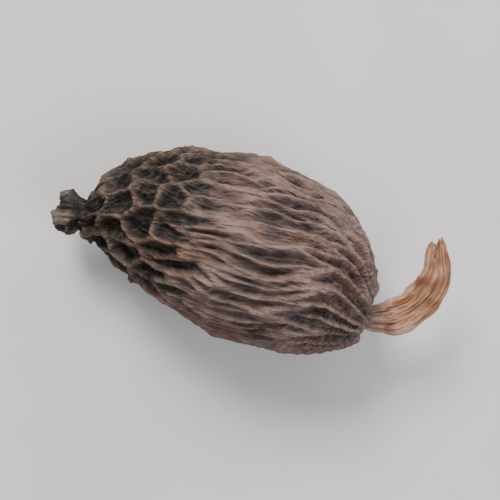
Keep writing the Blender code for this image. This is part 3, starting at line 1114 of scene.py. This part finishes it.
@dataclass
class StalkScrap:
    """The coppery scrap of stalk and bract that curls away from the blunt end.

    The route is that of its middle, from its root. It widens, narrows, hollows and changes colour between
    two shares of its run, and closes at both ends by a share and its power. Lanes and steps stretch a
    noise across, through and along it. The strands' depth and the tone are those between strands, then
    what strands and finer strands add, and for the tone also the edges and the wear.
    """

    husk: Husk
    width: float = 0.0027
    thickness: float = 0.0010
    route: tuple[Triple, ...] = (
        (0.0, 0.0, 0.0),
        (0.0015, 0.0003, -0.0002),
        (0.0030, 0.0011, -0.0004),
        (0.0042, 0.0028, -0.0001),
        (0.0046, 0.0049, 0.0006),
        (0.0038, 0.0070, 0.0013),
    )
    run: float = 0.009
    roll: float = 0.35
    root_share: float = 0.55
    swell: Pair = (0.05, 0.40)
    end_share: float = 0.70
    taper: Pair = (0.72, 1.0)
    root_depth: float = 1.25
    thinning: float = 0.35
    closed: Pair = (0.75, 40)
    cup: float = 0.00035
    cup_run: Pair = (0.1, 0.5)
    bundles: RoundWave = RoundWave(7, 0.16, slant=4.0)
    lanes: Triple = (9.0, 3.0, 4.0)
    strand: LatticeNoise = LatticeNoise(seed=51)
    finer: LatticeNoise = LatticeNoise(seed=57, spacing=1.0 / 2.3)
    strand_depth: Triple = (0.84, 0.26, 0.14)
    strand_edge: float = 0.05
    notch: LatticeNoise = LatticeNoise(seed=61)
    notch_steps: Triple = (0.8, 0.8, 11.0)
    notch_depth: float = 0.28
    tear: float = 0.0007
    tear_power: int = 14
    teeth: RoundWave = RoundWave(3, 0.7, 0.6)
    split: LatticeNoise = LatticeNoise(seed=71)
    split_steps: Triple = (4.6, 0.4, 0.0)
    split_reach: float = 2.2
    wear: LatticeNoise = LatticeNoise(seed=31, spacing=0.0007)
    wear_height: float = 0.00012
    tone: tuple[float, ...] = (0.16, 0.50, 0.28, 0.22, 0.35)
    root_colours: Pair = (0.10, 0.55)
    grain_run: float = 0.14
    sides: int = 180
    rings: int = 190

    def skin(self) -> Skin:
        """Work out the band: a cupped, fibrous section carried along the route, torn at its end.

        Returns:
            The scrap's skin.
        """
        middle, tangent = smooth_route(np.array(self.route), self.rings)
        share = np.linspace(0.0, 1.0, self.rings)[:, None]
        turn = np.linspace(0.0, TURN, self.sides, endpoint=False)[None, :]
        level = np.cross([0.0, 0.0, 1.0], tangent)
        level /= np.linalg.norm(level, axis=1, keepdims=True)
        rise = np.cross(tangent, level)
        roll = self.roll * share
        side = level * np.cos(roll) + rise * np.sin(roll)
        face = rise * np.cos(roll) - level * np.sin(roll)

        swell = self.root_share + (1.0 - self.root_share) * smooth_step(*self.swell, share)
        taper = (1.0 - self.end_share) * smooth_step(*self.taper, share)
        close = np.sqrt(1.0 - self.closed[0] * (2.0 * share - 1.0) ** self.closed[1])
        section = grid_of(np.cos(turn), np.sin(turn), share)
        sideways, upwards = section[..., 0], section[..., 1]
        strand = self.strand.creased(section * self.lanes)
        finer = self.finer.creased(section * self.lanes)
        notch = self.notch.smooth(section * self.notch_steps)
        split = self.split.creased(section * self.split_steps) - CREASE_MIDDLE

        depth = 0.5 * self.thickness * (self.root_depth - self.thinning * share) * close
        depth = depth * (1.0 + self.bundles.at(turn, share))
        depth = depth * weighted(self.strand_depth, 1.0, strand, finer)
        cup = self.cup * smooth_step(*self.cup_run, share) * sideways**2
        edge = 1.0 + self.strand_edge * strand + self.notch_depth * notch
        across = 0.5 * self.width * (swell - taper) * close * sideways * edge
        above = depth * upwards + cup
        tear = self.tear * share**self.tear_power * (self.teeth.at(turn) + self.split_reach * split)
        points = (
            middle[:, None, :]
            + side[:, None, :] * across[..., None]
            + face[:, None, :] * above[..., None]
            + tangent[:, None, :] * tear[..., None]
        )
        wear = self.wear.smooth(points)
        points = points + grid_normals(points) * (self.wear_height * wear)[..., None]

        tone = weighted(self.tone, 1.0, strand, finer, sideways**6, wear)
        grain = grid_of(across, above, self.grain_run * self.run * share)
        root = (1.0 - smooth_step(*self.root_colours, share)) + 0.0 * turn
        seat = self.husk.end + np.array([SEAT_GAP, 0.0, 0.0])
        return Skin(points + seat, np.clip(tone, 0.0, 1.0), root, grain * MILLIMETRES)

    def build(self, fibres: Tree) -> bpy.types.Object:
        """Make the scrap and dress it, with the shared fibre group in its finish."""
        return self.skin().piece("stalk_band", STALK_FINISH.make(fibres))


# Table, lights and camera


@dataclass(frozen=True)
class SoftLight:
    """One soft square light that faces the pod, with its power in watts."""

    name: str
    place: Triple
    size: float
    power: float
    colour: Triple

    def hang(self, target: Vector) -> None:
        """Hang the light.

        Args:
            target: What it faces.
        """
        lamp = bpy.data.lights.new(self.name, "AREA")
        lamp.size = self.size
        lamp.energy = self.power
        lamp.color = self.colour
        hung = put_in_scene(self.name, lamp)
        hung.location = self.place
        hung.rotation_euler = (target - Vector(self.place)).to_track_quat("-Z", "Y").to_euler()


@dataclass
class Studio:
    """The pale table, the soft lights and the camera that looks down on the pod.

    The roll slopes the pod as in the photograph, and the frame is the width of the view at the pod. The
    lens and its sensor are in millimetres.
    """

    roll: float = math.radians(22)
    frame_width: float = 0.0385
    lens: float = 150.0
    sensor: float = 36.0
    clip_start: float = 0.01
    table_half: float = 1.2
    table_scale: float = 90.0
    table_stops: Stops = ((0.3, (0.55, 0.525, 0.525)), (0.7, (0.59, 0.565, 0.565)))
    table_roughness: float = 0.7
    target: Triple = (0.0, 0.0, 0.005)
    lamps: tuple[SoftLight, ...] = (
        SoftLight("key_light", (-0.22, 0.26, 0.34), 0.20, 3.4, (1.0, 0.98, 0.95)),
        SoftLight("fill_light", (0.30, -0.10, 0.28), 0.30, 1.1, (0.94, 0.97, 1.0)),
        SoftLight("far_light", (0.10, 0.34, 0.14), 0.20, 0.8, (1.0, 0.98, 0.96)),
    )
    room: Triple = (0.90, 0.92, 0.95)
    room_strength: float = 0.52

    def table(self) -> None:
        """Lay the pale table top under the pod."""
        mesh = bpy.data.meshes.new("table_top")
        half = self.table_half
        corners = [(-half, -half, 0), (half, -half, 0), (half, half, 0), (-half, half, 0)]
        mesh.from_pydata(corners, [], [(0, 1, 2, 3)])
        material = bpy.data.materials.new("pale_table")
        material.use_nodes = True
        sheet = NodeSheet(material.node_tree)
        place = sheet.add("ShaderNodeTexCoord").outputs["Object"]
        mottle = sheet.noise(place, self.table_scale, detail=3.0)
        shader = material.node_tree.nodes["Principled BSDF"]
        material.node_tree.links.new(sheet.ramp(mottle, self.table_stops), shader.inputs["Base Color"])
        shader.inputs["Roughness"].default_value = self.table_roughness
        mesh.materials.append(material)
        put_in_scene("table_top", mesh)

    def lights(self) -> None:
        """Hang the key light, the fill light and the far light, and set the pale surroundings."""
        for lamp in self.lamps:
            lamp.hang(Vector(self.target))
        world = bpy.data.worlds.new("pale_room")
        world.use_nodes = True
        background = world.node_tree.nodes["Background"]
        background.inputs["Color"].default_value = (*self.room, 1.0)
        background.inputs["Strength"].default_value = self.room_strength
        bpy.context.scene.world = world

    def camera(self) -> None:
        """Hang the camera straight above the pod."""
        lens = bpy.data.cameras.new("camera")
        lens.lens = self.lens
        lens.sensor_width = self.sensor
        lens.clip_start = self.clip_start
        low, high = CAD_BOX
        distance = self.frame_width * self.lens / self.sensor
        eye = put_in_scene("camera", lens)
        eye.location = (0.5 * (low[0] + high[0]), 0.5 * (low[1] + high[1]), 0.5 * high[2] + distance)
        eye.rotation_euler = (0.0, 0.0, self.roll)
        bpy.context.scene.camera = eye


def put_in_frame(piece: bpy.types.Object, node: Piece) -> None:
    """Stand a piece for its node, let it ride with the pod and report it.

    Args:
        piece: The finished piece.
        node: The node that it stands for.
    """
    name, slot = node.value
    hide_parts(name)
    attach(piece, "root")
    LOG.info("%s: %d faces", piece.name, len(piece.data.polygons))


def main() -> None:
    """Build the pod piece by piece, then the table, the lights and the camera."""
    logging.basicConfig(level=logging.INFO, format="%(name)s %(message)s")
    fibres = fibre_group()
    husk = Husk()
    put_in_frame(husk.build(fibres), Piece.HUSK)
    put_in_frame(CalyxRemnant(husk).build(fibres), Piece.CALYX)
    put_in_frame(StalkScrap(husk).build(fibres), Piece.STALK)
    studio = Studio()
    studio.table()
    studio.lights()
    studio.camera()


if __name__ == "__main__":
    main()
